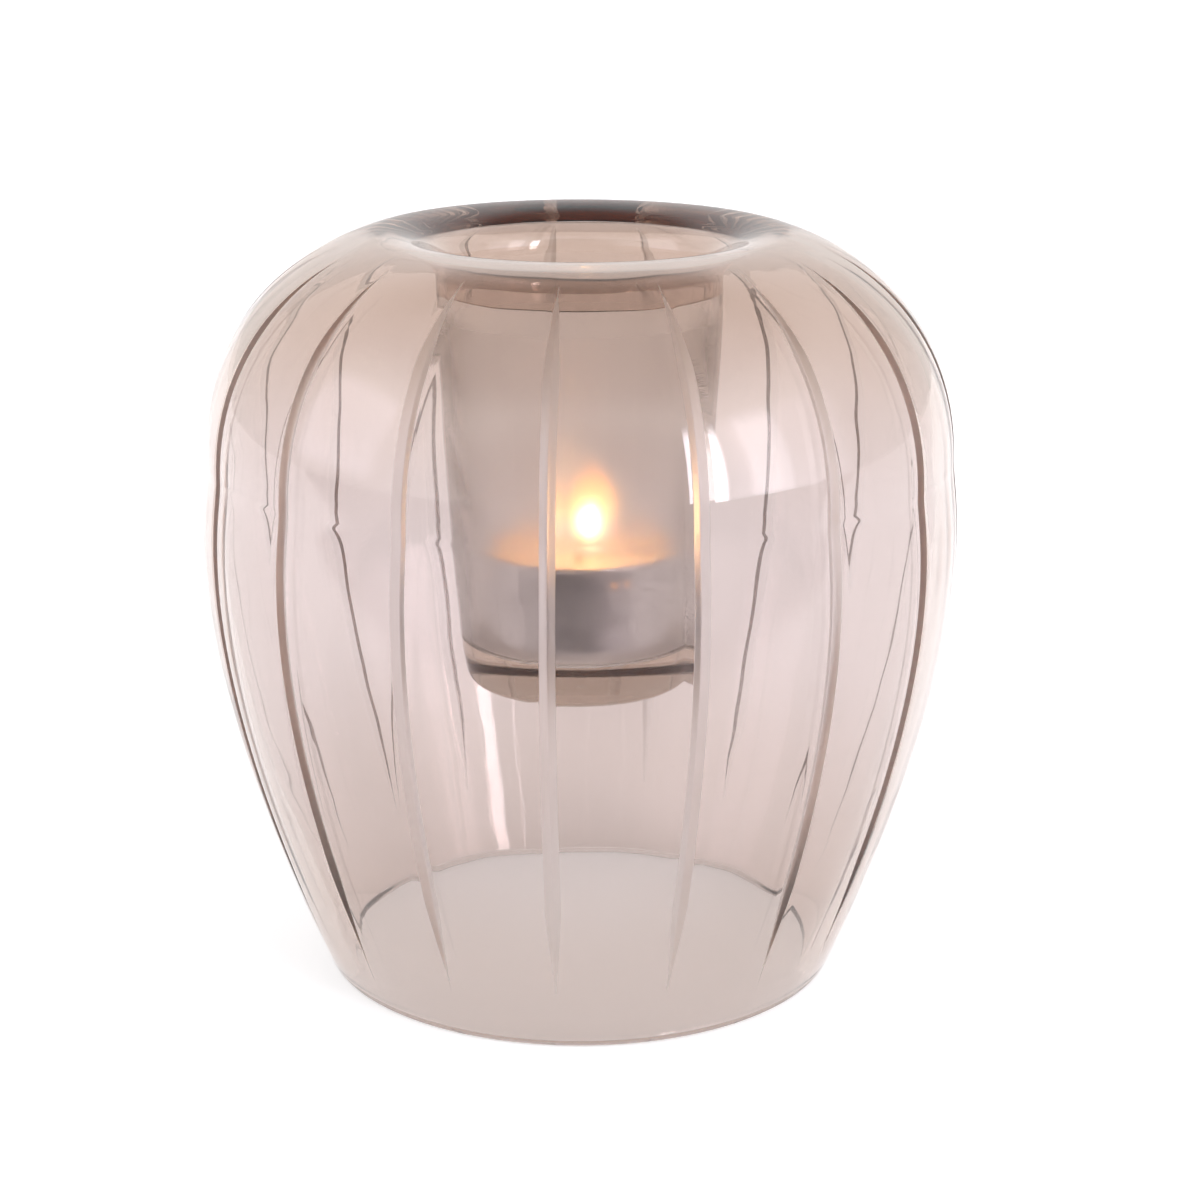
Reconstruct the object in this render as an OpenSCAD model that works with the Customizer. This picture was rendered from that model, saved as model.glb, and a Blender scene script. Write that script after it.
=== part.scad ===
// Glass tealight holder. A bell-shaped shade stands on an open foot, its lip rolls
// inwards, and a frosted cup hangs from the lip and holds one tealight.
// The wall of the shade carries cut grooves that run from the foot to the shoulder.
// The origin is on the table, at the centre of the foot. +Z is up.

/* [Shade] */
// Diameter of the shade where the wall turns into the shoulder
shoulder_d = 150; // [146:1:154]
// Height at which the wall turns into the shoulder
shoulder_z = 106.7; // [103:0.1:110]
// Height of the lip's crest above the table
shade_h = 151.2; // [148:0.1:156]
// Outside diameter of the foot, measured to the table
foot_d = 105.4; // [98:0.2:108]
// Lean of the wall at the foot, from the vertical
foot_lean = 23; // [18:1:25]
// Thickness of the wall at the foot
foot_wall = 4.5; // [3.8:0.1:5.5]
// Thickness of the wall where the shoulder begins
shoulder_wall = 4.2; // [3.4:0.1:4.6]
// Radius of the fire-polished edges of the foot
foot_round = 1.6; // [0.8:0.1:1.8]

/* [Lip] */
// Diameter of the ring along the lip's crest
crest_d = 80.5; // [78:0.5:83]
// Thickness of the glass under the crest
crest_wall = 3.6; // [3.2:0.1:4.4]
// How far the lip curls down before the wall of the cup begins
curl_drop = 8; // [7:0.5:9]
// Width of the mouth at the bottom of the curl
mouth_d = 52.6; // [51:0.2:53]
// Width of the round between the cup's wall and the lip's underside
lip_round_w = 5.6; // [5:0.2:7]
// Height of the same round
lip_round_h = 5.1; // [4.5:0.1:6]

/* [Cut grooves] */
// Number of grooves round the shade
groove_count = 17; // [12:1:20]
// Width of a groove at full depth
groove_w = 2.9; // [2:0.1:3.4]
// Angle between the two flanks of a groove
groove_angle = 120; // [110:2:130]
// Height of the grooves' lower tips
groove_low_z = 13.5; // [10:0.5:25]
// Height of the grooves' upper tips
groove_high_z = 148.4; // [144:0.2:149]
// Length over which a groove fades out at each tip
groove_fade = 20; // [10:1:30]
// Turn of the first groove from the front, to the right
groove_turn = -4.4; // [-10:0.1:10]

/* [Cup] */
// Outside diameter of the cup where it joins the lip
cup_d = 56.4; // [55.6:0.2:57]
// Height of the cup's flat underside above the table
cup_z = 59.5; // [56:0.5:62]
// Radius of the underside's edge
cup_edge_round = 1.7; // [1:0.1:2]
// Outside diameter of the cup at its underside, over the round edge
cup_base_d = 46.6; // [45.6:0.2:47]
// Thickness of the cup's floor, measured to the edge of its underside
cup_floor = 8.2; // [6:0.1:10]
// Inside diameter of the cup at the top of the floor's round
cup_seat_d = 44; // [43.2:0.2:44.6]
// Radius of the round between the cup's floor and its wall
cup_seat_round = 1.5; // [0.8:0.1:2.4]
// Diameter of the shallow hollow in the underside
cup_hollow_d = 39; // [30:1:40]
// Depth of the shallow hollow in the underside
cup_hollow_h = 1; // [0.4:0.1:2]

/* [Tealight] */
// Diameter over the rolled rim of the aluminium cup
tealight_d = 38.2; // [37:0.2:39]
// Height of the aluminium cup
tealight_h = 19.6; // [16:0.2:21]
// Diameter of the aluminium cup's base
tealight_base_d = 36.8; // [36:0.2:37.2]
// Thickness of the aluminium sheet
sheet = 0.3; // [0.2:0.05:0.4]
// Depth of the wax below the rim
wax_gap = 3.4; // [2:0.2:5]
// Diameter of the wick
wick_d = 1.5; // [1.2:0.1:2]
// Height of the upright part of the wick above the wax
wick_rise = 3.5; // [2:0.1:5]

/* [Hidden] */
$fn = 128;

// A cubic Bezier curve from a to d, cut into n straight steps
function bezier(a, b, c, d, n) = [
    for (i = [0 : n])
        let (t = i / n, u = 1 - t)
        u * u * u * a + 3 * u * u * t * b + 3 * u * t * t * c + t * t * t * d
];

// An elliptical arc about c, with radii rx and ry, from angle a0 to a1 in n steps
function arc(c, rx, ry, a0, a1, n) = [
    for (i = [0 : n])
        let (a = a0 + (a1 - a0) * i / n)
        c + [rx * cos(a), ry * sin(a)]
];

// The points of a list but its first one, for joining it to the list before it
function rest(list) = [for (i = [1 : len(list) - 1]) list[i]];

function reverse(list) = [for (i = [len(list) - 1 : -1 : 0]) list[i]];

// ---- Outline of the shade, in a half plane: [radius, height] ----

// Lengths of the handles that shape the wall, as shares of the height they cross
foot_handle = 0.734;
wall_handle = 0.058;
shoulder_handle = 0.77;
crest_handle = 5.4;
// How far inside the crest the flat underside of the lip ends
ceiling_in = 2;
lower_steps = 10;
upper_steps = 8;
lip_steps = 8;

shoulder_r = shoulder_d / 2;
crest_r = crest_d / 2;
foot_r = foot_d / 2;
wall_lean = [sin(foot_lean), cos(foot_lean)];

// Where the round edge of the foot's outside begins and ends
foot_out = foot_r - foot_round * (1 - sin(foot_lean)) / cos(foot_lean);
foot_edge_out = arc([foot_out, foot_round], foot_round, foot_round, -90, -foot_lean, 3);
wall_start = foot_edge_out[3];

outer_lower = bezier(
    wall_start,
    wall_start + foot_handle * shoulder_z * wall_lean,
    [shoulder_r, shoulder_z * (1 - wall_handle)],
    [shoulder_r, shoulder_z],
    lower_steps);
outer_upper = bezier(
    [shoulder_r, shoulder_z],
    [shoulder_r, shoulder_z + shoulder_handle * (shade_h - shoulder_z)],
    [crest_r + crest_handle, shade_h],
    [crest_r, shade_h],
    upper_steps);
outer_wall = concat(outer_lower, rest(outer_upper));

// The inside of the shade follows its outside, at the thickness of the wall
foot_in_r = foot_r - foot_wall / cos(foot_lean);
foot_in = foot_in_r + foot_round * (1 + sin(foot_lean)) / cos(foot_lean);
foot_edge_in = arc([foot_in, foot_round], foot_round, foot_round, 180 - foot_lean, 270, 3);
ceiling_r = crest_r - ceiling_in;
ceiling_z = shade_h - crest_wall;
inner_lower = bezier(
    foot_edge_in[0],
    foot_edge_in[0] + foot_handle * shoulder_z * wall_lean,
    [shoulder_r - shoulder_wall, shoulder_z * (1 - wall_handle)],
    [shoulder_r - shoulder_wall, shoulder_z],
    lower_steps);
inner_upper = bezier(
    [shoulder_r - shoulder_wall, shoulder_z],
    [shoulder_r - shoulder_wall, shoulder_z + shoulder_handle * (ceiling_z - shoulder_z)],
    [ceiling_r + crest_handle, ceiling_z],
    [ceiling_r, ceiling_z],
    upper_steps);

// The lip curls down from the crest to the mouth, and its underside to the cup
mouth_r = mouth_d / 2;
cup_r = cup_d / 2;
seam_z = ceiling_z - curl_drop;
curl_z = shade_h - curl_drop;
lip_top = arc([crest_r, curl_z], mouth_r - crest_r, curl_drop, 90, 0, lip_steps);
lip_under = arc(
    [cup_r + lip_round_w, ceiling_z - lip_round_h],
    -lip_round_w, lip_round_h, 0, 90, lip_steps);

// ---- Grooves ----

groove_h = groove_w / 2 / tan(groove_angle / 2);
// How far the tips of the cutter stand clear of the wall
groove_clear = 0.05;
function shade_r(z) = lookup(z, [for (p = outer_wall) [p[1], p[0]]]);
groove_low = [shade_r(groove_low_z), groove_low_z];
groove_high = [shade_r(groove_high_z), groove_high_z];
function groove_share(p) = min(1, norm(p - groove_low) / groove_fade, norm(p - groove_high) / groove_fade);
// The corners of the groove's bottom lie halfway between those of the wall
groove_bottom = concat(
    [groove_low + [groove_clear, 0]],
    [for (i = [1 : len(outer_wall) - 1])
        let (p = (outer_wall[i - 1] + outer_wall[i]) / 2)
        if (p[1] > groove_low_z + 3 && p[1] < groove_high_z - 0.5)
        p - [groove_h * groove_share(p), 0]],
    [groove_high + [groove_clear, 0]]);
groove_reach = shoulder_r + 10;

// ---- Cup ----

seat_c = [cup_seat_d / 2 - cup_seat_round, cup_z + cup_floor + cup_seat_round];
edge_c = [cup_base_d / 2 - cup_edge_round, cup_z + cup_edge_round];
cup_edge_lean = 15;
cup_edge = arc(edge_c, cup_edge_round, cup_edge_round, -cup_edge_lean, -90, 5);
cup_outside = bezier(
    [cup_r, seam_z],
    [cup_r - 0.5, seam_z - 27],
    cup_edge[0] + 10 * [sin(cup_edge_lean), cos(cup_edge_lean)],
    cup_edge[0],
    10);
cup_seat = arc(seat_c, cup_seat_round, cup_seat_round, -90, 0, 4);
hollow_r = cup_hollow_d / 2;
cup_hollow = [
    for (i = [6 : -1 : 0])
        let (r = hollow_r * i / 6)
        [r, cup_z + cup_hollow_h * (1 - (r / hollow_r) * (r / hollow_r))]
];

// ---- Tealight, measured up from its own base at zero ----

tealight_foot_round = 1.2;
// The tealight stands on the flat floor of the cup
seat_gap = 0.1;
tealight_z = cup_z + cup_floor + seat_gap;
rim_bead = 0.5;
rim_r = tealight_d / 2 - 2 * rim_bead + sheet;
base_r = tealight_base_d / 2;
panel_r = 12;
panel_rise = 0.8;
panel_slope = 0.6;
wax_top = tealight_h - wax_gap;
fit_gap = 0.05;
bead_z = tealight_h - rim_bead;

// Inside radius of the aluminium cup at a height above its base
function sheet_in(z) = base_r - sheet + (rim_r - base_r) * (z - tealight_foot_round) / (bead_z - tealight_foot_round);

sustainer_r = 6.5;
sustainer_t = 0.3;
neck_r = 1.4;
neck_h = 4;
floor_z = panel_rise + sheet;
wick_bend_r = 3;
wick_bend = 50;

module outer_shade() {
    color([0.80, 0.70, 0.66, 0.45])
        difference() {
            rotate_extrude()
                polygon(concat(
                    foot_edge_out,
                    rest(outer_wall),
                    rest(lip_top),
                    [[mouth_r, seam_z], [cup_r, seam_z]],
                    lip_under,
                    reverse(inner_upper),
                    rest(reverse(inner_lower)),
                    rest(foot_edge_in)));
            for (i = [0 : groove_count - 1])
                rotate([0, 0, groove_turn - 90 + i * 360 / groove_count])
                    groove();
        }
}

// All that lies outside one flank of a groove
module groove_flank() {
    rotate([90, 0, groove_angle / 2 - 90])
        translate([0, 0, -shoulder_r])
            linear_extrude(shoulder_r)
                polygon(concat(
                    [for (p = groove_bottom) [p[0] * sin(groove_angle / 2), p[1]]],
                    [[groove_reach, groove_high_z], [groove_reach, groove_low_z]]));
}

module groove() {
    intersection() {
        groove_flank();
        mirror([0, 1, 0])
            groove_flank();
    }
}

module inner_cup() {
    color([0.86, 0.81, 0.79, 0.7])
        rotate_extrude()
            polygon(concat(
                cup_outside,
                rest(cup_edge),
                cup_hollow,
                [[0, cup_z + cup_floor]],
                cup_seat,
                [[mouth_r, seam_z]]));
}

module tealight_cup() {
    color([0.80, 0.80, 0.82])
        translate([0, 0, tealight_z])
            rotate_extrude()
                union() {
                    polygon(concat(
                        [[0, panel_rise], [panel_r - panel_slope, panel_rise], [panel_r, 0]],
                        arc([base_r - tealight_foot_round, tealight_foot_round],
                            tealight_foot_round, tealight_foot_round, -90, 0, 4),
                        [[rim_r, bead_z], [rim_r - sheet, bead_z]],
                        arc([base_r - tealight_foot_round, tealight_foot_round],
                            tealight_foot_round - sheet, tealight_foot_round - sheet, 0, -90, 4),
                        [[panel_r, sheet], [panel_r - panel_slope, floor_z], [0, floor_z]]));
                    translate([tealight_d / 2 - rim_bead, bead_z])
                        circle(r = rim_bead, $fn = 24);
                }
}

module wax() {
    wax_foot_r = tealight_foot_round - sheet - fit_gap;
    color([0.97, 0.95, 0.90])
        translate([0, 0, tealight_z])
            difference() {
                rotate_extrude()
                    polygon(concat(
                        [[0, floor_z], [panel_r - panel_slope, floor_z], [panel_r, sheet + fit_gap]],
                        arc([base_r - tealight_foot_round, tealight_foot_round],
                            wax_foot_r, wax_foot_r, -90, 0, 4),
                        [[sheet_in(wax_top) - fit_gap, wax_top], [0, wax_top]]));
                translate([0, 0, floor_z - 1])
                    cylinder(h = sustainer_t + fit_gap + 1, r = sustainer_r + fit_gap);
                cylinder(h = floor_z + neck_h + fit_gap, r = neck_r + fit_gap);
                cylinder(h = tealight_h, d = wick_d + 2 * fit_gap);
            }
}

module wick_sustainer() {
    color([0.62, 0.62, 0.64])
        translate([0, 0, tealight_z + floor_z])
            difference() {
                union() {
                    cylinder(h = sustainer_t, r = sustainer_r);
                    cylinder(h = neck_h, r = neck_r);
                }
                translate([0, 0, -1])
                    cylinder(h = neck_h + 2, d = wick_d + 2 * fit_gap);
            }
}

module wick() {
    color([0.20, 0.16, 0.13])
        translate([0, 0, tealight_z + floor_z]) {
            upright = wax_top - floor_z + wick_rise;
            cylinder(h = upright, d = wick_d);
            translate([wick_bend_r, 0, upright])
                rotate([90, 0, 180])
                    rotate_extrude(angle = wick_bend)
                        translate([wick_bend_r, 0])
                            circle(d = wick_d, $fn = 32);
        }
}

outer_shade();
inner_cup();
tealight_cup();
wax();
wick_sustainer();
wick();
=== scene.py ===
"""Looks of a glass tealight holder with a lit tealight in its frosted cup.

The glass is two closed shells, each turned from its own section: the tinted shade with
its cut grooves, and the frosted cup that hangs from the lip. The tealight is an aluminium
cup, wax with a melted pool, a braided wick and a flame. Everything is in metres, +Z up.
"""
import math

import bpy
import numpy as np
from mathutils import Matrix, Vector


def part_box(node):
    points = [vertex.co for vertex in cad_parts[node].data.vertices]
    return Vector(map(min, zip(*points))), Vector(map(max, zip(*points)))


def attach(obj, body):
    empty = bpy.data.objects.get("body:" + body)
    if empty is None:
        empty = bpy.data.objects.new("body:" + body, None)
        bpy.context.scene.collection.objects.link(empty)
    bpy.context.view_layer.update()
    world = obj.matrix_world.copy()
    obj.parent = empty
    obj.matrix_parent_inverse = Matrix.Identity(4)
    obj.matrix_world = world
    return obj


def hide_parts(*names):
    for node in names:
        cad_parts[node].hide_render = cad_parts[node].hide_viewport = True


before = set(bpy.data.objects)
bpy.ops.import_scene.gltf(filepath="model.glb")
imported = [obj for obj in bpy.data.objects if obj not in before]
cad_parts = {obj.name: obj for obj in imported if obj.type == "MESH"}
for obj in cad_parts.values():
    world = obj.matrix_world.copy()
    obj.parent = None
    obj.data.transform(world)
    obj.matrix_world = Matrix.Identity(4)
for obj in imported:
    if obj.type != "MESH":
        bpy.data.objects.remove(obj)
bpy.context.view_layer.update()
shade_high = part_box("outer_shade")[1]
cup_low, cup_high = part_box("inner_cup")
tin_low, tin_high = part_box("tealight_cup")
wax_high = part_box("wax")[1]
disc_low, disc_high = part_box("wick_sustainer")
wick_low, wick_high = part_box("wick")
rng = np.random.default_rng(11)

# ---- Curves, as rows of [radius, height] ----


def bezier(a, b, c, d, steps):
    """A cubic Bezier curve from a to d."""
    t = np.linspace(0, 1, steps + 1)[:, None]
    a, b, c, d = (np.array(p, float) for p in (a, b, c, d))
    return (1 - t)**3 * a + 3 * (1 - t)**2 * t * b + 3 * (1 - t) * t**2 * c + t**3 * d


def arc(centre, rx, ry, start, end, steps):
    """An elliptical arc about centre, between two angles in degrees."""
    angle = np.radians(np.linspace(start, end, steps + 1))
    return np.array(centre) + np.stack([rx * np.cos(angle), ry * np.sin(angle)], 1)


def line(a, b, steps):
    """Evenly spaced points from a to b."""
    return np.array(a) + np.linspace(0, 1, steps + 1)[:, None] * (np.array(b) - np.array(a))


def chain(*curves):
    """The curves joined end to end, each shared point once."""
    return np.concatenate([curves[0]] + [c[1:] for c in curves[1:]])


def smooth_step(x, low, high):
    """0 up to low, 1 from high, and a smooth rise between."""
    t = np.clip((x - low) / (high - low), 0, 1)
    return t * t * (3 - 2 * t)


# ---- Unevenness of hand-made glass ----


def make_waves(count, turns, heights, slant=0):
    """Random slow waves round and up a turned piece: (turns, per metre, phase, share)."""
    waves = []
    for _ in range(count):
        n = int(rng.integers(turns[0], turns[1] + 1))
        k = 2 * math.pi / rng.uniform(*heights) * rng.choice([-1, 1] if not slant else [slant])
        waves.append((n, k, rng.uniform(0, 2 * math.pi), rng.uniform(0.5, 1)))
    total = sum(w[3] for w in waves)
    return [(n, k, phase, share / total) for n, k, phase, share in waves]


def ripple(waves, theta, z):
    """The waves' sum at an angle and height, from -1 to 1."""
    return sum(share * np.cos(n * theta + k * z + phase) for n, k, phase, share in waves)


# ---- Meshes ----


def mesh_object(name, points, faces, material, crease=40):
    """A smooth-shaded object whose edges sharper than crease degrees stay crisp."""
    mesh = bpy.data.meshes.new(name)
    mesh.from_pydata([tuple(p) for p in points], [], faces)
    mesh.polygons.foreach_set("use_smooth", [True] * len(mesh.polygons))
    mesh.set_sharp_from_angle(angle=math.radians(crease))
    mesh.materials.append(material)
    obj = bpy.data.objects.new(name, mesh)
    bpy.context.scene.collection.objects.link(obj)
    return obj


def skin(rows, columns, ring):
    """Quads over a grid of points that closes round its columns, and over its rows if ring."""
    faces = []
    for i in range(rows if ring else rows - 1):
        low = i * columns
        high = (i + 1) % rows * columns
        for j in range(columns):
            k = (j + 1) % columns
            faces.append((low + j, low + k, high + k, high + j))
    return faces


def spin(name, outline, columns, material, shape=None, crease=40):
    """Turns an outline round the axis. One with both ends on the axis gets a point at each.

    shape(theta, r, z) gives each point's radius and height, for what isn't quite round.
    """
    outline = np.array(outline)
    poles = outline[0, 0] < 1e-7 and outline[-1, 0] < 1e-7
    body = outline[1:-1] if poles else outline
    theta = np.linspace(0, 2 * math.pi, columns, endpoint=False)[None, :]
    r, z = (np.repeat(body[:, i:i + 1], columns, 1) for i in (0, 1))
    if shape:
        r, z = shape(theta, r, z)
    points = np.stack([r * np.cos(theta), r * np.sin(theta), z], -1).reshape(-1, 3)
    faces = skin(len(body), columns, not poles)
    if poles:
        first = len(points)
        last_row = (len(body) - 1) * columns
        points = np.vstack([points, [0, 0, outline[0, 1]], [0, 0, outline[-1, 1]]])
        for j in range(columns):
            k = (j + 1) % columns
            faces.append((first, k, j))
            faces.append((first + 1, last_row + j, last_row + k))
    return mesh_object(name, points, faces, material, crease)


def point_value(obj, name, values):
    """Stores one number for each point of the mesh, which a material reads by name."""
    attribute = obj.data.attributes.new(name, "FLOAT", "POINT")
    attribute.data.foreach_set("value", np.asarray(values, np.float32).ravel())


# ---- Materials ----


def new_material(name):
    """A material, its node tree and its Principled shader."""
    material = bpy.data.materials.new(name)
    material.use_nodes = True
    tree = material.node_tree
    return material, tree, tree.nodes["Principled BSDF"]


def node(tree, kind, inputs=None, **settings):
    """A new node with its settings made, and its inputs set or linked."""
    made = tree.nodes.new(kind)
    for key, value in settings.items():
        setattr(made, key, value)
    for key, value in (inputs or {}).items():
        if isinstance(value, bpy.types.NodeSocket):
            tree.links.new(value, made.inputs[key])
        else:
            made.inputs[key].default_value = value
    return made


def noise(tree, scale, detail=3, stretch=(1, 1, 1), roughness=0.5):
    """Noise over the piece's own place in metres: scale is in blobs to the metre."""
    place = node(tree, "ShaderNodeTexCoord").outputs["Object"]
    mapped = node(tree, "ShaderNodeMapping", {"Vector": place, "Scale": stretch})
    return node(tree, "ShaderNodeTexNoise", {
        "Vector": mapped.outputs[0], "Scale": scale, "Detail": detail, "Roughness": roughness,
    }).outputs["Fac"]


def spread(tree, value, from_low, from_high, to_low, to_high):
    """Maps a value smoothly from one range to another."""
    return node(tree, "ShaderNodeMapRange", {
        "Value": value, "From Min": from_low, "From Max": from_high,
        "To Min": to_low, "To Max": to_high,
    }, interpolation_type="SMOOTHSTEP").outputs[0]


def arithmetic(tree, operation, a, b):
    """One sum of two values."""
    return node(tree, "ShaderNodeMath", {0: a, 1: b}, operation=operation).outputs[0]


def blend_colour(tree, share, a, b):
    """A colour between a and b, by share."""
    mix = node(tree, "ShaderNodeMix", {"Factor": share}, data_type="RGBA")
    for socket, value in ((mix.inputs[6], a), (mix.inputs[7], b)):
        if isinstance(value, bpy.types.NodeSocket):
            tree.links.new(value, socket)
        else:
            socket.default_value = (*value, 1)
    return mix.outputs[2]


def bump(tree, height, distance, under=None):
    """A bump of that height in metres, laid over another one."""
    inputs = {"Height": height, "Distance": distance, "Strength": 1}
    if under:
        inputs["Normal"] = under
    return node(tree, "ShaderNodeBump", inputs).outputs[0]


def stored(tree, name):
    """The number that point_value stored under that name."""
    return node(tree, "ShaderNodeAttribute", attribute_name=name).outputs["Fac"]


def tint(tree, colour, density):
    """Tints glass by its depth."""
    absorb = node(tree, "ShaderNodeVolumeAbsorption", {"Color": (*colour, 1), "Density": density})
    tree.links.new(absorb.outputs[0], tree.nodes["Material Output"].inputs["Volume"])


# Heights between which painted shade deepens the shade's tint at the foot and over the shoulder, and
# eases at the crest
FOOT_PAINTED_SHADE = (0.018, 0.055)
SHOULDER_PAINTED_SHADE = (0.105, 0.140)
CREST_SHADE_EASE = (0.1455, 0.1495)


def shade_glass():
    """Clear blown glass with a smoky pink-brown tint, satin where the grooves are cut.

    Painted shade deepens its tint at the foot and over the shoulder, and eases at the crest.
    """
    material, tree, shader = new_material("shade_glass")
    smudges = spread(tree, noise(tree, 45, 4), 0.5, 0.75, 0.0, 0.03)
    grain = spread(tree, noise(tree, 3000, 2), 0.2, 0.8, 0.38, 0.48)
    cut = stored(tree, "cut")
    satin = arithmetic(tree, "MULTIPLY", cut, grain)
    tree.links.new(arithmetic(tree, "ADD", satin, smudges), shader.inputs["Roughness"])
    place = node(tree, "ShaderNodeTexCoord").outputs["Object"]
    height = node(tree, "ShaderNodeSeparateXYZ", {0: place}).outputs["Z"]
    film = blend_colour(tree, noise(tree, 30, 2), (0.83, 0.79, 0.795), (0.80, 0.755, 0.76))
    # Painted shade: the tint darkens towards the foot and over the shoulder, with less of it at the
    # crest
    foot_painted_shade = blend_colour(tree, spread(tree, height, *FOOT_PAINTED_SHADE, 1, 0), film, (0.74, 0.675, 0.65))
    shoulder = arithmetic(tree, "MULTIPLY", spread(tree, height, *SHOULDER_PAINTED_SHADE, 0, 1),
                          spread(tree, height, *CREST_SHADE_EASE, 1, 0.75))
    painted_shade_tint = blend_colour(tree, shoulder, foot_painted_shade, (0.735, 0.65, 0.60))
    tree.links.new(painted_shade_tint, shader.inputs["Base Color"])
    waves = bump(tree, noise(tree, 55, 1), 0.00012)
    scratches = arithmetic(tree, "MULTIPLY", cut, noise(tree, 900, 2, (1, 1, 0.04)))
    tree.links.new(bump(tree, scratches, 0.00004, waves), shader.inputs["Normal"])
    shader.inputs["IOR"].default_value = 1.5
    shader.inputs["Transmission Weight"].default_value = 1
    tint(tree, (0.60, 0.33, 0.15), 30)
    return material


def frosted_glass():
    """The same glass, a little paler, with a satin frost on its inside."""
    material, tree, shader = new_material("frosted_glass")
    frost = stored(tree, "frost")
    grain = spread(tree, noise(tree, 60, 5), 0.3, 0.7, 0.30, 0.36)
    tree.links.new(arithmetic(tree, "MULTIPLY", frost, grain), shader.inputs["Roughness"])
    cloud = blend_colour(tree, noise(tree, 50, 3), (1.0, 0.995, 0.99), (0.985, 0.975, 0.97))
    tree.links.new(cloud, shader.inputs["Base Color"])
    pits = arithmetic(tree, "MULTIPLY", frost, noise(tree, 2500, 3))
    tree.links.new(bump(tree, pits, 0.00002), shader.inputs["Normal"])
    shader.inputs["IOR"].default_value = 1.5
    shader.inputs["Transmission Weight"].default_value = 0.97
    tint(tree, (0.60, 0.40, 0.20), 20)
    return material


def aluminium():
    """Bright drawn sheet with fine drawing lines up the wall and light handling marks."""
    material, tree, shader = new_material("aluminium")
    lines = noise(tree, 1800, 3, (1, 1, 0.03))
    dull = noise(tree, 160, 4)
    colour = blend_colour(tree, dull, (0.96, 0.96, 0.97), (0.90, 0.90, 0.92))
    tree.links.new(colour, shader.inputs["Base Color"])
    rough = arithmetic(tree, "ADD", spread(tree, dull, 0.35, 0.7, 0.12, 0.26),
                       spread(tree, lines, 0.3, 0.7, 0.0, 0.1))
    tree.links.new(rough, shader.inputs["Roughness"])
    dents = bump(tree, noise(tree, 120, 2), 0.0002)
    tree.links.new(bump(tree, lines, 0.00001, dents), shader.inputs["Normal"])
    shader.inputs["Metallic"].default_value = 1
    return material


def tinplate():
    """Thin tinned steel with a faint spangle."""
    material, tree, shader = new_material("tinplate")
    spangle = noise(tree, 700, 3)
    colour = blend_colour(tree, spangle, (0.66, 0.66, 0.67), (0.52, 0.52, 0.54))
    tree.links.new(colour, shader.inputs["Base Color"])
    tree.links.new(spread(tree, spangle, 0.3, 0.7, 0.25, 0.42), shader.inputs["Roughness"])
    tree.links.new(bump(tree, spangle, 0.00001), shader.inputs["Normal"])
    shader.inputs["Metallic"].default_value = 1
    return material


def paraffin():
    """White paraffin wax: matt at its rim, clear and glossy where it has melted.

    Painted light: it emits a warm glow in place of the flame's light, less with the distance from the
    flame.
    """
    material, tree, shader = new_material("wax")
    pool = stored(tree, "pool")
    mottle = noise(tree, 350, 4)
    solid = blend_colour(tree, mottle, (0.93, 0.905, 0.85), (0.86, 0.83, 0.77))
    colour = blend_colour(tree, pool, solid, (0.74, 0.66, 0.54))
    tree.links.new(colour, shader.inputs["Base Color"])
    matt = spread(tree, mottle, 0.3, 0.7, 0.34, 0.5)
    wet = arithmetic(tree, "SUBTRACT", 1, pool)
    tree.links.new(arithmetic(tree, "MAXIMUM", arithmetic(tree, "MULTIPLY", wet, matt), 0.04),
                   shader.inputs["Roughness"])
    crust = arithmetic(tree, "MULTIPLY", wet, mottle)
    tree.links.new(bump(tree, crust, 0.00015), shader.inputs["Normal"])
    place = node(tree, "ShaderNodeTexCoord").outputs["Object"]
    under_flame = (0.0012, 0, wax_high.z)
    spot = node(tree, "ShaderNodeVectorMath", {0: place, 1: under_flame},
                operation="DISTANCE").outputs["Value"]
    # Painted light: a warm emitted glow where the flame lights the wax, fading with distance from the
    # flame
    painted_flame_glow = blend_colour(tree, spread(tree, spot, 0.002, 0.019, 0, 1),
                        (0.95, 0.50, 0.27), (0.52, 0.26, 0.14))
    tree.links.new(painted_flame_glow, shader.inputs["Emission Color"])
    shader.inputs["Emission Strength"].default_value = 1.0
    shader.inputs["Subsurface Weight"].default_value = 0.7
    shader.inputs["Subsurface Radius"].default_value = (1.0, 0.75, 0.5)
    shader.inputs["Subsurface Scale"].default_value = 0.006
    shader.inputs["IOR"].default_value = 1.43
    return material


def cotton_wick():
    """Braided cotton, waxed at its foot, charred above the pool and glowing at its tip."""
    material, tree, shader = new_material("wick")
    place = node(tree, "ShaderNodeTexCoord").outputs["Object"]
    height = node(tree, "ShaderNodeSeparateXYZ", {0: place}).outputs["Z"]
    fibres = noise(tree, 2600, 4, (1, 1, 0.35))
    char = spread(tree, height, wax_high.z, wax_high.z + 0.002, 0, 1)
    fresh = blend_colour(tree, fibres, (0.80, 0.72, 0.58), (0.55, 0.46, 0.34))
    burnt = blend_colour(tree, fibres, (0.035, 0.028, 0.022), (0.012, 0.010, 0.009))
    tree.links.new(blend_colour(tree, char, fresh, burnt), shader.inputs["Base Color"])
    glow = spread(tree, height, wick_high.z - 0.0012, wick_high.z, 0, 1)
    ember = blend_colour(tree, glow, (0, 0, 0), (1.0, 0.22, 0.03))
    tree.links.new(ember, shader.inputs["Emission Color"])
    shader.inputs["Emission Strength"].default_value = 3
    tree.links.new(spread(tree, fibres, 0.3, 0.7, 0.7, 0.95), shader.inputs["Roughness"])
    tree.links.new(bump(tree, fibres, 0.00008), shader.inputs["Normal"])
    return material


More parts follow.
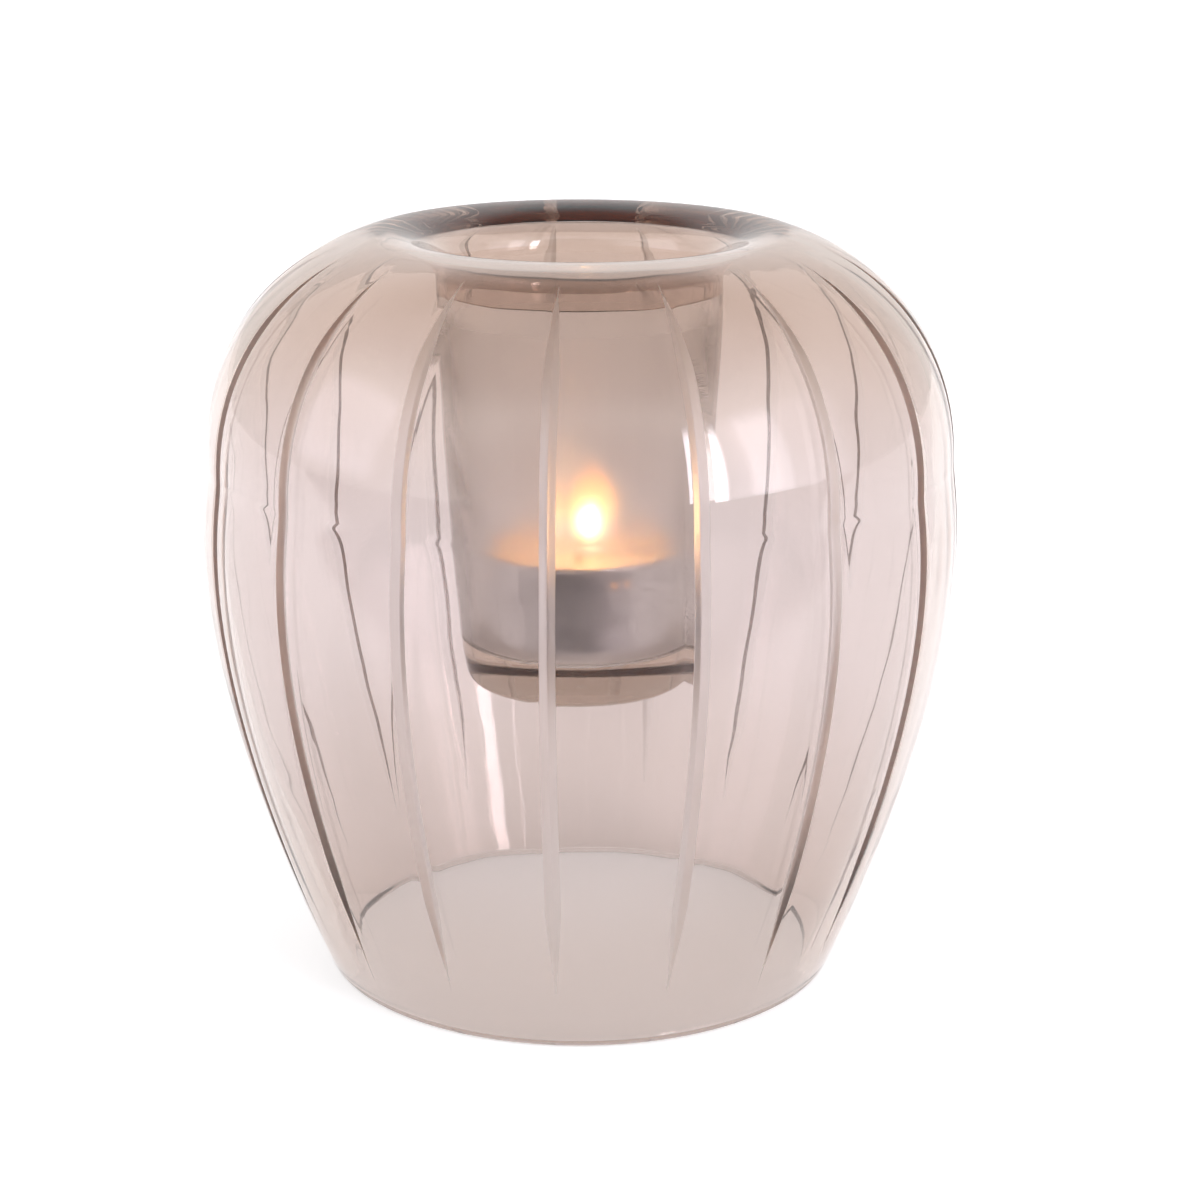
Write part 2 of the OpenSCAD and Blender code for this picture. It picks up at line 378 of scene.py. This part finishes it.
def flame_light(name, bottom, top, strength, low, middle, high, veil):
    """Glowing gas: three colours up its height, see-through at its foot and tip.

    veil is how solid it is at its foot, at its belly, and at its tip as a share of that.
    """
    material, tree, shader = new_material(name)
    place = node(tree, "ShaderNodeTexCoord").outputs["Object"]
    height = node(tree, "ShaderNodeSeparateXYZ", {0: place}).outputs["Z"]
    share = spread(tree, height, bottom, top, 0, 1)
    lower = blend_colour(tree, spread(tree, share, 0.05, 0.4, 0, 1), low, middle)
    colour = blend_colour(tree, spread(tree, share, 0.5, 1, 0, 1), lower, high)
    tree.links.new(colour, shader.inputs["Emission Color"])
    shader.inputs["Emission Strength"].default_value = strength
    shader.inputs["Base Color"].default_value = (0, 0, 0, 1)
    shader.inputs["Specular IOR Level"].default_value = 0
    rise = spread(tree, share, 0.0, 0.35, veil[0], veil[1])
    fade = spread(tree, share, 0.75, 1, 1, veil[2])
    tree.links.new(arithmetic(tree, "MULTIPLY", rise, fade), shader.inputs["Alpha"])
    return material


# ---- Camera, at the photograph's viewing angle ----

CAMERA_BACK = 0.541
CAMERA_HEIGHT = 0.2368
# Degrees below the horizon
CAMERA_DIP = 16.65
# Focal length in millimetres on a sensor 36 mm wide, and the sideways shift that frames it
CAMERA_LENS = 82.7
CAMERA_SHIFT = 0.0169

camera_data = bpy.data.cameras.new("camera")
camera_data.sensor_width = 36
camera_data.lens = CAMERA_LENS
camera_data.shift_x = CAMERA_SHIFT
camera = bpy.data.objects.new("camera", camera_data)
camera.location = (0, -CAMERA_BACK, CAMERA_HEIGHT)
camera.rotation_euler = (math.radians(90 - CAMERA_DIP), 0, 0)
bpy.context.scene.collection.objects.link(camera)
bpy.context.scene.camera = camera

# ---- The shade ----

FOOT_R = 0.0527
FOOT_LEAN = math.radians(23)
FOOT_WALL = 0.0045
FOOT_ROUND = 0.0016
SHOULDER_R = 0.075
SHOULDER_Z = 0.1067
SHOULDER_WALL = 0.0042
CREST_R = 0.04025
CREST_WALL = 0.0036
CURL_DROP = 0.008
MOUTH_R = 0.0263
# Width and height of the round between the cup's wall and the lip's underside
LIP_ROUND = (0.0056, 0.0051)
CUP_R = cup_high.x
# Handles of the wall's curves, as shares of the height they cross
FOOT_HANDLE = 0.734
WALL_HANDLE = 0.058
SHOULDER_HANDLE = 0.77
CREST_HANDLE = 0.0054
# How far inside the crest the flat underside of the lip ends
CEILING_IN = 0.0020
# The glass stays this far inside the CAD model's outside
INSET = 0.0001
# Half of the hairline between the shade's lip and the cup
SEAM_GAP = 0.00001

crest_z = shade_high.z - INSET / 4
seam_z = cup_high.z
ceiling = (CREST_R - CEILING_IN, shade_high.z - CREST_WALL)
lean = np.array([math.sin(FOOT_LEAN), math.cos(FOOT_LEAN)])


def wall_curve(start, shoulder_r, end, lower_steps, upper_steps):
    """The side of the shade from its foot over the shoulder to the crest."""
    lower = bezier(start, start + FOOT_HANDLE * SHOULDER_Z * lean,
                   (shoulder_r, SHOULDER_Z * (1 - WALL_HANDLE)), (shoulder_r, SHOULDER_Z),
                   lower_steps)
    rise = SHOULDER_HANDLE * (end[1] - SHOULDER_Z)
    upper = bezier((shoulder_r, SHOULDER_Z), (shoulder_r, SHOULDER_Z + rise),
                   (end[0] + CREST_HANDLE, end[1]), end, upper_steps)
    return chain(lower, upper)


def shade_outlines():
    """The shade's outside, and the rest of its section from the crest back to the foot."""
    lean_deg = math.degrees(FOOT_LEAN)
    foot_out = FOOT_R - INSET - FOOT_ROUND * (1 - lean[0]) / lean[1]
    edge_out = arc((foot_out, FOOT_ROUND), FOOT_ROUND, FOOT_ROUND, -90, -lean_deg, 6)
    outside = chain(edge_out, wall_curve(edge_out[-1], SHOULDER_R - INSET,
                                         (CREST_R, crest_z), 42, 34))
    curl_z = shade_high.z - CURL_DROP
    lip = arc((CREST_R, curl_z), MOUTH_R - CREST_R, crest_z - curl_z, 90, 0, 22)
    neck = line((MOUTH_R, curl_z), (MOUTH_R, seam_z + SEAM_GAP), 3)
    seam = line((MOUTH_R, seam_z + SEAM_GAP), (CUP_R, seam_z + SEAM_GAP), 2)
    round_w, round_h = LIP_ROUND
    wall = line((CUP_R, seam_z + SEAM_GAP), (CUP_R, ceiling[1] - round_h), 3)
    under = arc((CUP_R + round_w, ceiling[1] - round_h), -round_w, round_h, 0, 90, 16)
    flat = line((CUP_R + round_w, ceiling[1]), ceiling, 5)
    foot_in_r = FOOT_R - FOOT_WALL / lean[1]
    foot_in = foot_in_r + FOOT_ROUND * (1 + lean[0]) / lean[1]
    edge_in = arc((foot_in, FOOT_ROUND), FOOT_ROUND, FOOT_ROUND, 180 - lean_deg, 270, 7)
    inside = wall_curve(edge_in[0], SHOULDER_R - SHOULDER_WALL, ceiling, 34, 28)
    foot = line(edge_in[-1], edge_out[0], 2)
    rest = chain(lip, neck, seam, wall, under, flat, inside[::-1], edge_in, foot)
    return outside, rest[1:-1]


GROOVE_COUNT = 17
GROOVE_W = 0.0029
GROOVE_HALF_ANGLE = math.radians(60)
GROOVE_LOW_Z = 0.0135
GROOVE_HIGH_Z = 0.1484
GROOVE_FADE = 0.020
GROOVE_TURN = math.radians(-4.4)
# Softness of the groove's bottom and of its edges, as shares of its half width
GROOVE_SOFT = (0.10, 0.08)
GROOVE_MIN_SPREAD = 0.0003
# Columns of points across a groove, in half widths from its middle, and between two grooves
GROOVE_COLUMNS = (-1.08, -1.0, -0.92, -0.5, -0.1, 0, 0.1, 0.5, 0.92, 1.0, 1.08)
PLAIN_COLUMNS = 13
# Heights between which the shade's wall is uneven, and how far each side gives
SHADE_WAVES_LOW = (0.006, 0.020)
SHADE_WAVES_HIGH = (0.130, 0.142)
OUTER_WAVE = 0.00008
INNER_WAVE = 0.00017


def groove_share(outline):
    """How deep the grooves are along the outline, from 0 at their tips to 1."""
    order = np.argsort(outline[:, 1])
    share = np.ones(len(outline))
    for z in (GROOVE_LOW_Z, GROOVE_HIGH_Z):
        tip = (np.interp(z, outline[order, 1], outline[order, 0]), z)
        share = np.minimum(share, np.hypot(*(outline - tip).T) / GROOVE_FADE)
    inside = (outline[:, 1] > GROOVE_LOW_Z) & (outline[:, 1] < GROOVE_HIGH_Z)
    return share * inside


def vee(t):
    """The depth of a cut at t half widths from its middle, with soft corners."""
    bottom, edge = GROOVE_SOFT
    straight = 1 - t
    round_bottom = 1 - (t * t + bottom * bottom) / (2 * bottom)
    round_edge = (1 + edge - t)**2 / (4 * edge)
    depth = np.where(t < bottom, round_bottom, np.where(t > 1 - edge, round_edge, straight))
    return np.where(t > 1 + edge, 0, depth)


def make_shade(material):
    """The shade: rows follow its section, and columns follow the edges of the grooves."""
    outside, rest = shade_outlines()
    outline = np.vstack([outside, rest])
    share = np.concatenate([groove_share(outside), np.zeros(len(rest))])
    depth = GROOVE_W / 2 / math.tan(GROOVE_HALF_ANGLE) * share
    half_width = GROOVE_W / 2 * share
    spread_out = np.maximum(half_width, GROOVE_MIN_SPREAD)
    spread_out[len(outside):] = GROOVE_W / 4
    columns, offsets, cuts = [], [], []
    sector = 2 * math.pi / GROOVE_COUNT
    reach = GROOVE_COLUMNS[-1]
    for i in range(GROOVE_COUNT):
        centre = GROOVE_TURN - math.pi / 2 + i * sector
        for f in GROOVE_COLUMNS:
            columns.append(centre + f * spread_out / outline[:, 0])
            across = abs(f) * spread_out / np.maximum(half_width, 1e-9)
            offsets.append(depth * vee(across))
            cuts.append((across < 1.001) & (share > 0))
        for j in range(1, PLAIN_COLUMNS + 1):
            s = j / (PLAIN_COLUMNS + 1)
            left = centre + reach * spread_out / outline[:, 0]
            right = centre + sector - reach * spread_out / outline[:, 0]
            columns.append(left + s * (right - left))
            offsets.append(np.zeros(len(outline)))
            cuts.append(np.zeros(len(outline), bool))
    theta, offset, cut = (np.stack(a, 1) for a in (columns, offsets, cuts))
    r, z = (np.repeat(outline[:, i:i + 1], theta.shape[1], 1) for i in (0, 1))
    calm = smooth_step(z, *SHADE_WAVES_LOW) * (1 - smooth_step(z, *SHADE_WAVES_HIGH))
    outer = np.arange(len(outline))[:, None] < len(outside)
    outer_waves = make_waves(7, (2, 6), (0.05, 0.14))
    inner_waves = make_waves(12, (3, 9), (0.04, 0.12))
    give = np.where(outer, -OUTER_WAVE * (1 + ripple(outer_waves, theta, z)),
                    INNER_WAVE * ripple(inner_waves, theta, z))
    r = r - offset + calm * give
    points = np.stack([r * np.cos(theta), r * np.sin(theta), z], -1).reshape(-1, 3)
    shade = mesh_object("shade", points, skin(len(outline), theta.shape[1], True), material)
    point_value(shade, "cut", cut)
    return shade


# ---- The cup ----

CUP_FLOOR = 0.0082
CUP_SEAT_R = 0.022
CUP_SEAT_ROUND = 0.0015
PUNT_R = 0.0195
PUNT_RISE = 0.0010
CUP_EDGE_ROUND = 0.0017
CUP_BASE_R = 0.0233
CUP_EDGE_LEAN = 15
# Handles of the curve of the cup's side, and how far it draws in over the upper one
CUP_LOW_HANDLE = 0.010
CUP_TOP_HANDLE = 0.027
CUP_TAPER = 0.0005
CUP_COLUMNS = 200
# Where the frost ends under the lip, from full to none
FROST_TOP = (0.1335, 0.1385)
# The share of the frost that is on the cup's outside
OUTER_FROST = 0.15
# Heights between which the cup's wall is uneven: from none to full at each end
CUP_WAVES_LOW = (0.088, 0.100)
CUP_WAVES_TOP = 0.130


def cup_outline():
    """From the middle of the underside, up the outside, over, and down to the floor."""
    base_z = cup_low.z
    edge_c = (CUP_BASE_R - CUP_EDGE_ROUND, base_z + CUP_EDGE_ROUND)
    edge = arc(edge_c, CUP_EDGE_ROUND, CUP_EDGE_ROUND, -90, -CUP_EDGE_LEAN, 7)
    slope = np.radians(CUP_EDGE_LEAN)
    top = seam_z - SEAM_GAP
    away = np.array([math.sin(slope), math.cos(slope)])
    side = bezier(edge[-1], edge[-1] + CUP_LOW_HANDLE * away,
                  (CUP_R - CUP_TAPER, top - CUP_TOP_HANDLE), (CUP_R, top), 48)
    seat_c = (CUP_SEAT_R - CUP_SEAT_ROUND, base_z + CUP_FLOOR + CUP_SEAT_ROUND)
    seat = arc(seat_c, CUP_SEAT_ROUND, CUP_SEAT_ROUND, 0, -90, 14)
    r = np.linspace(0, PUNT_R, 13)
    punt = np.stack([r, base_z + PUNT_RISE * (1 - (r / PUNT_R)**2)], 1)
    return chain(
        punt, line((PUNT_R, base_z), edge[0], 2), edge, side,
        line((CUP_R, top), (MOUTH_R, top), 2),
        line((MOUTH_R, top), seat[0], 36), seat, line(seat[-1], (0, base_z + CUP_FLOOR), 6))


def make_cup(material):
    """The frosted cup, with slow waves all round and a fine swirl on its inside."""
    slow = make_waves(8, (2, 7), (0.03, 0.12))
    swirl = make_waves(4, (7, 12), (0.012, 0.022), slant=1)
    outline = cup_outline()
    top_row = np.argmax(outline[:, 1])

    def shape(theta, r, z):
        calm = smooth_step(z, *CUP_WAVES_LOW) * (1 - smooth_step(z, CUP_WAVES_TOP, seam_z))
        inside = np.arange(len(r))[:, None] > top_row
        give = 0.00012 * ripple(slow, theta, z) + 0.00016 * ripple(swirl, theta, z) * inside
        return r + calm * give, z

    cup = spin("frosted_cup", outline, CUP_COLUMNS, material, shape)
    z = np.array([v.co.z for v in cup.data.vertices])
    outside = np.arange(len(z)) // CUP_COLUMNS < top_row
    frost = np.where(outside, OUTER_FROST, 1) * (1 - smooth_step(z, *FROST_TOP))
    point_value(cup, "frost", frost)
    return cup


# ---- The tealight ----

SHEET = 0.0003
BEAD = 0.0005
TIN_FOOT_ROUND = 0.0012
TIN_BASE_R = 0.0184
PANEL_R = 0.012
PANEL_RISE = 0.0008
PANEL_SLOPE = 0.0006
RING_R = 0.007
RING_HALF_W = 0.0008
RING_RISE = 0.0004
# Radii between which the tin's floor turns into its wall
TIN_WALL = (0.0172, 0.0180)
CRIMP = 0.00007
DENT = 0.00012


def make_tin(material):
    """A drawn cup with a raised panel under it, a pressed ring and a rolled rim."""
    low, rim_z = tin_low.z, tin_high.z - BEAD
    bead_r = tin_high.x - BEAD
    foot_c = (TIN_BASE_R - TIN_FOOT_ROUND, low + TIN_FOOT_ROUND)

    def floor_side(lift):
        """The panel's line from the middle out, with its pressed ring."""
        z = low + lift
        return chain(
            line((0, z + PANEL_RISE), (RING_R - RING_HALF_W, z + PANEL_RISE), 3),
            arc((RING_R, z + PANEL_RISE), RING_HALF_W, RING_RISE, 180, 0, 8),
            line((RING_R + RING_HALF_W, z + PANEL_RISE), (PANEL_R - PANEL_SLOPE, z + PANEL_RISE), 3),
            line((PANEL_R - PANEL_SLOPE, z + PANEL_RISE), (PANEL_R, z), 3),
            line((PANEL_R, z), (foot_c[0], z), 3))

    foot_out = arc(foot_c, TIN_FOOT_ROUND, TIN_FOOT_ROUND, -90, 0, 6)
    foot_in = arc(foot_c, TIN_FOOT_ROUND - SHEET, TIN_FOOT_ROUND - SHEET, 0, -90, 6)
    bead = arc((bead_r, rim_z), BEAD, BEAD, -150, 180, 16)
    outline = chain(
        floor_side(0), foot_out, line(foot_out[-1], bead[0], 16), bead,
        line(bead[-1], foot_in[0], 16), foot_in, floor_side(SHEET)[::-1])
    wrinkles = make_waves(5, (24, 46), (0.2, 0.5))
    dents = make_waves(5, (3, 8), (0.02, 0.05))

    def shape(theta, r, z):
        """Crimps under the rim and dents in the wall, by share of the tin's height."""
        height = (z - low) / (tin_high.z - low)
        wall = smooth_step(r, *TIN_WALL)
        crimp = smooth_step(height, 0.55, 0.9) * (1 - smooth_step(height, 0.93, 0.99))
        give = CRIMP * crimp * ripple(wrinkles, theta, z)
        give += DENT * smooth_step(height, 0.1, 0.4) * (ripple(dents, theta, z) - 1)
        return r + wall * give, z

    return spin("tealight_tin", outline, 288, material, shape)


POOL_R = 0.0150
POOL_DEPTH = 0.0006
SHORE_WAVE = 0.0006
FIT = 0.00005
NECK_R = 0.0014
WICK_R = 0.00075


def make_wax(material):
    """Solid wax round a melted pool, with a bore and a pocket for the wick's foot.

    The melted wax dips a little in the pool and climbs the wick.
    """
    top = wax_high.z
    rim_r = wax_high.x - FIT
    meniscus = 0.0005
    pool_z = top - POOL_DEPTH
    dip_z = pool_z - 0.0002
    climb_z = pool_z + 0.0004
    floor_z = disc_low.z
    neck_top = disc_high.z
    disc_r = disc_high.x + FIT
    disc_top = floor_z + SHEET + FIT
    foot_c = (TIN_BASE_R - TIN_FOOT_ROUND, tin_low.z + TIN_FOOT_ROUND)
    foot_round = TIN_FOOT_ROUND - SHEET - FIT
    foot = arc(foot_c, foot_round, foot_round, -90, 0, 6)
    bore = WICK_R + FIT
    outline = chain(
        line((bore, climb_z), (bore, neck_top + FIT), 6),
        line((bore, neck_top + FIT), (NECK_R + FIT, neck_top + FIT), 1),
        line((NECK_R + FIT, neck_top + FIT), (NECK_R + FIT, disc_top), 4),
        line((NECK_R + FIT, disc_top), (disc_r, disc_top), 3),
        line((disc_r, disc_top), (disc_r, floor_z), 1),
        line((disc_r, floor_z), (PANEL_R - PANEL_SLOPE, floor_z), 3),
        line((PANEL_R - PANEL_SLOPE, floor_z), (PANEL_R, foot[0][1]), 2),
        line((PANEL_R, foot[0][1]), foot[0], 3), foot,
        line(foot[-1], (rim_r, top - meniscus), 10),
        line((rim_r, top - meniscus), (rim_r, top), 2),
        bezier((rim_r, top), (rim_r - 0.0006, top - meniscus), (rim_r - 0.001, top - meniscus),
               (POOL_R + 0.0014, top - meniscus), 10),
        bezier((POOL_R + 0.0014, top - meniscus), (POOL_R + 0.0004, top - meniscus),
               (POOL_R + 0.0002, dip_z), (POOL_R - 0.0008, dip_z), 10),
        line((POOL_R - 0.0008, dip_z), (0.0028, dip_z), 22),
        bezier((0.0028, dip_z), (0.0016, dip_z), (0.0011, pool_z),
               (bore, climb_z), 8))[:-1]
    shore = make_waves(6, (2, 9), (0.5, 1.0))

    def shape(theta, r, z):
        """The pool's uneven shore, which leaves the wick, the rim and the depths alone."""
        near = smooth_step(r, 0.006, 0.013) * (1 - smooth_step(r, 0.0165, 0.0175))
        surface = smooth_step(z, top - 0.0016, top - 0.0011)
        return r + SHORE_WAVE * near * surface * ripple(shore, theta, 0), z

    wax = spin("wax_block", outline, 192, material, shape, crease=50)
    co = np.array([v.co for v in wax.data.vertices])
    r = np.hypot(co[:, 0], co[:, 1])
    theta = np.arctan2(co[:, 1], co[:, 0])
    edge = POOL_R - 0.0004 + SHORE_WAVE * ripple(shore, theta, 0)
    pool = (1 - smooth_step(r, edge - 0.0012, edge + 0.0004)) * (co[:, 2] > top - 0.0015)
    point_value(wax, "pool", pool)
    return wax


def wick_path(steps):
    """The middle of the wick: straight up, then bent over at its tip."""
    bend_r, bend = 0.003, math.radians(50)
    upright = wick_high.z - WICK_R * math.cos(bend) - bend_r * math.sin(bend)
    length = upright - wick_low.z
    total = length + bend_r * bend
    path = []
    for s in np.linspace(0, total, steps).tolist():
        turn = max(0, s - length) / bend_r
        x = bend_r * (1 - math.cos(turn))
        z = wick_low.z + min(s, length) + bend_r * math.sin(turn)
        path.append((Vector((x, 0, z)), Vector((math.sin(turn), 0, math.cos(turn))), s))
    return path, total


def make_wick(material):
    """Three strands laid round each other, thinner and frayed at the burnt tip."""
    strands, sides, steps = 3, 10, 90
    lay, strand_r, off, burnt_length = 0.0042, 0.00040, 0.00033, 0.004
    path, total = wick_path(steps)
    points, faces = [], []
    for k in range(strands):
        first = len(points)
        for i, (centre, along, s) in enumerate(path):
            across = Vector((along.z, 0, -along.x))
            side = along.cross(across)
            turn = 2 * math.pi * (s / lay + k / strands)
            burnt = max(0, (s - total + burnt_length) / burnt_length)
            r = strand_r * (1 - 0.35 * burnt**2 + 0.06 * math.sin(s * 5200 + k))
            if i in (0, steps - 1):
                r *= 0.5
            middle = centre + off * (math.cos(turn) * across + math.sin(turn) * side)
            for j in range(sides):
                a = 2 * math.pi * j / sides
                points.append(middle + r * (math.cos(a) * across + math.sin(a) * side))
        for i in range(steps - 1):
            for j in range(sides):
                a, b = first + i * sides + j, first + i * sides + (j + 1) % sides
                faces.append((a, b, b + sides, a + sides))
        faces.append(tuple(first + j for j in reversed(range(sides))))
        faces.append(tuple(first + (steps - 1) * sides + j for j in range(sides)))
    return mesh_object("braided_wick", points, faces, material, crease=60)


# The flame stands over the bent tip of the wick, and sways a little
FLAME_X = 0.0016
FLAME_SWAY = 0.0003


def make_flame(name, bottom, top, width, belly, lean_x, material):
    """A drop of glowing gas, widest at belly of its height and leaning as it rises."""
    rows, columns = 40, 48
    t = np.linspace(0, 1, rows + 1)
    lower = np.sin(np.clip(t / belly, 0, 1) * math.pi / 2)**0.8
    upper = np.cos(np.clip((t - belly) / (1 - belly), 0, 1) * math.pi / 2)**1.25
    outline = np.stack([width / 2 * np.minimum(lower, upper), bottom + t * (top - bottom)], 1)
    outline[[0, -1], 0] = 0
    drop = spin(name, outline, columns, material)
    for v in drop.data.vertices:
        share = (v.co.z - bottom) / (top - bottom)
        v.co.x += FLAME_X + lean_x * share * share
        v.co.y += FLAME_SWAY * math.sin(share * 5)
    return drop


# ---- Build, and say which body each piece moves with ----

shade = make_shade(shade_glass())
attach(shade, "holder")
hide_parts("outer_shade")

cup = make_cup(frosted_glass())
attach(cup, "holder")
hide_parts("inner_cup")

tin = make_tin(aluminium())
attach(tin, "tealight")
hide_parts("tealight_cup")

wax = make_wax(paraffin())
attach(wax, "tealight")
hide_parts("wax")

wick = make_wick(cotton_wick())
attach(wick, "tealight")
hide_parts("wick")

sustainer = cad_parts["wick_sustainer"]
sustainer.data.materials.clear()
sustainer.data.materials.append(tinplate())

mantle_low, mantle_high = wick_high.z - 0.0042, wick_high.z + 0.0150
mantle_light = flame_light(
    "flame_mantle", mantle_low, mantle_high, strength=3.2, low=(0.30, 0.22, 0.50),
    middle=(1.0, 0.50, 0.20), high=(1.0, 0.42, 0.16), veil=(0.10, 0.45, 0.20))
mantle = make_flame("flame_mantle", mantle_low, mantle_high, width=0.0115, belly=0.30,
                    lean_x=0.0012, material=mantle_light)
core_low, core_high = wick_high.z - 0.0012, wick_high.z + 0.0058
core_light = flame_light(
    "flame_core", core_low, core_high, strength=60, low=(1.0, 0.50, 0.18),
    middle=(1.0, 0.74, 0.36), high=(1.0, 0.66, 0.28), veil=(0.35, 0.95, 0.5))
core = make_flame("flame_core", core_low, core_high, width=0.0040, belly=0.42,
                  lean_x=0.0014, material=core_light)
for flame in (mantle, core):
    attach(flame, "tealight")

# ---- Floor and light ----

# Where painted shade starts and ends on the paper, in front of the holder
PAINTED_SHADE_START = -0.14
PAINTED_SHADE_END = -0.24
FLOOR_HALF = 12
# The pale paper glows a little, so that it reads as white up to the horizon
PAPER_GLOW = 0.48
# Windows of light: azimuth, elevation, width and height in degrees, and strength
WINDOWS = (
    (114, 11, 44, 46, 1.2),
    (121, 11, 13, 44, 2.4),
    (139.5, 11, 7, 38, 16.0),
    (-100, 20, 30, 34, 1.6),
)

def make_floor():
    """A large pale sheet of paper, darkened to grey by painted shade well in front of the holder."""
    material, tree, shader = new_material("floor")
    paper = blend_colour(tree, noise(tree, 4, 2), (0.93, 0.93, 0.93), (0.91, 0.91, 0.91))
    place = node(tree, "ShaderNodeTexCoord").outputs["Object"]
    ahead = node(tree, "ShaderNodeSeparateXYZ", {0: place}).outputs["Y"]
    clear_of_painted_shade = spread(tree, ahead, PAINTED_SHADE_END, PAINTED_SHADE_START, 0, 1)
    # Painted shade: the paper turns dark grey in front of the holder, and its glow fades there too
    colour = blend_colour(tree, clear_of_painted_shade, (0.20, 0.195, 0.205), paper)
    tree.links.new(colour, shader.inputs["Base Color"])
    glow = arithmetic(tree, "MULTIPLY", clear_of_painted_shade, PAPER_GLOW)
    tree.links.new(glow, shader.inputs["Emission Strength"])
    shader.inputs["Roughness"].default_value = 0.8
    shader.inputs["Specular IOR Level"].default_value = 0.2
    shader.inputs["Emission Color"].default_value = (1, 1, 1, 1)
    corners = [(x * FLOOR_HALF, y * FLOOR_HALF, 0) for x, y in ((-1, -1), (1, -1), (1, 1), (-1, 1))]
    floor = mesh_object("floor", corners, [(0, 1, 2, 3)], material)


def soft_window(tree, direction, azimuth, elevation, width, height, strength):
    """A soft-edged bright window in the sky. Azimuth 0 is +Y and 90 is +X, in degrees."""
    a, e = math.radians(azimuth), math.radians(elevation)
    ahead = (math.sin(a) * math.cos(e), math.cos(a) * math.cos(e), math.sin(e))
    right = (math.cos(a), -math.sin(a), 0)
    above = tuple(Vector(right).cross(Vector(ahead)))

    def along(axis):
        """How far the direction points along an axis."""
        return node(tree, "ShaderNodeVectorMath", {0: direction, 1: axis},
                    operation="DOT_PRODUCT").outputs["Value"]

    forward = along(ahead)
    share = spread(tree, forward, 0, 0.1, 0, strength)
    for axis, size in ((right, width), (above, height)):
        off = arithmetic(tree, "ABSOLUTE", arithmetic(tree, "DIVIDE", along(axis), forward), 0)
        half = math.tan(math.radians(size / 2))
        share = arithmetic(tree, "MULTIPLY", share, spread(tree, off, half * 0.75, half * 1.25, 1, 0))
    return share


def make_world():
    """A bright, even surround under a dim ceiling, with soft windows in it.

    It is dimmer straight in front and at the far left and right.
    """
    world = bpy.data.worlds.new("world")
    bpy.context.scene.world = world
    world.use_nodes = True
    tree = world.node_tree
    direction = node(tree, "ShaderNodeTexCoord").outputs["Generated"]
    axes = node(tree, "ShaderNodeSeparateXYZ", {0: direction}).outputs
    # A direction's Z is the sine of its height: 0.60 is 37 degrees up and 0.85 is 58
    ceiling_share = spread(tree, axes["Z"], 0.60, 0.85, 1.5, 0.4)
    front_share = spread(tree, axes["Y"], -0.95, -0.6, 0.15, 1.0)
    aside = arithmetic(tree, "ABSOLUTE", axes["X"], 0)
    side_share = spread(tree, aside, 0.75, 0.95, 1.0, 0.55)
    around = arithmetic(tree, "MULTIPLY", ceiling_share,
                        arithmetic(tree, "MULTIPLY", front_share, side_share))
    back = spread(tree, axes["Z"], 0.60, 0.85, 1.0, 0.4)
    behind = spread(tree, axes["Y"], -0.1, 0.3, 0, 1)
    light = node(tree, "ShaderNodeMix", {"Factor": behind, 2: around, 3: back}).outputs[0]
    glow = 0
    for window in WINDOWS:
        glow = arithmetic(tree, "ADD", soft_window(tree, direction, *window), glow)
    cool = blend_colour(tree, spread(tree, glow, 0, 1.5, 0, 1), (1, 1, 1), (0.93, 0.92, 1.0))
    tree.links.new(cool, tree.nodes["Background"].inputs["Color"])
    total = arithmetic(tree, "ADD", light, glow)
    tree.links.new(total, tree.nodes["Background"].inputs["Strength"])


make_floor()
make_world()

scene = bpy.context.scene
scene.view_settings.view_transform = "Standard"
scene.cycles.max_bounces = 32
scene.cycles.transmission_bounces = 32
scene.cycles.glossy_bounces = 32
scene.cycles.transparent_max_bounces = 16
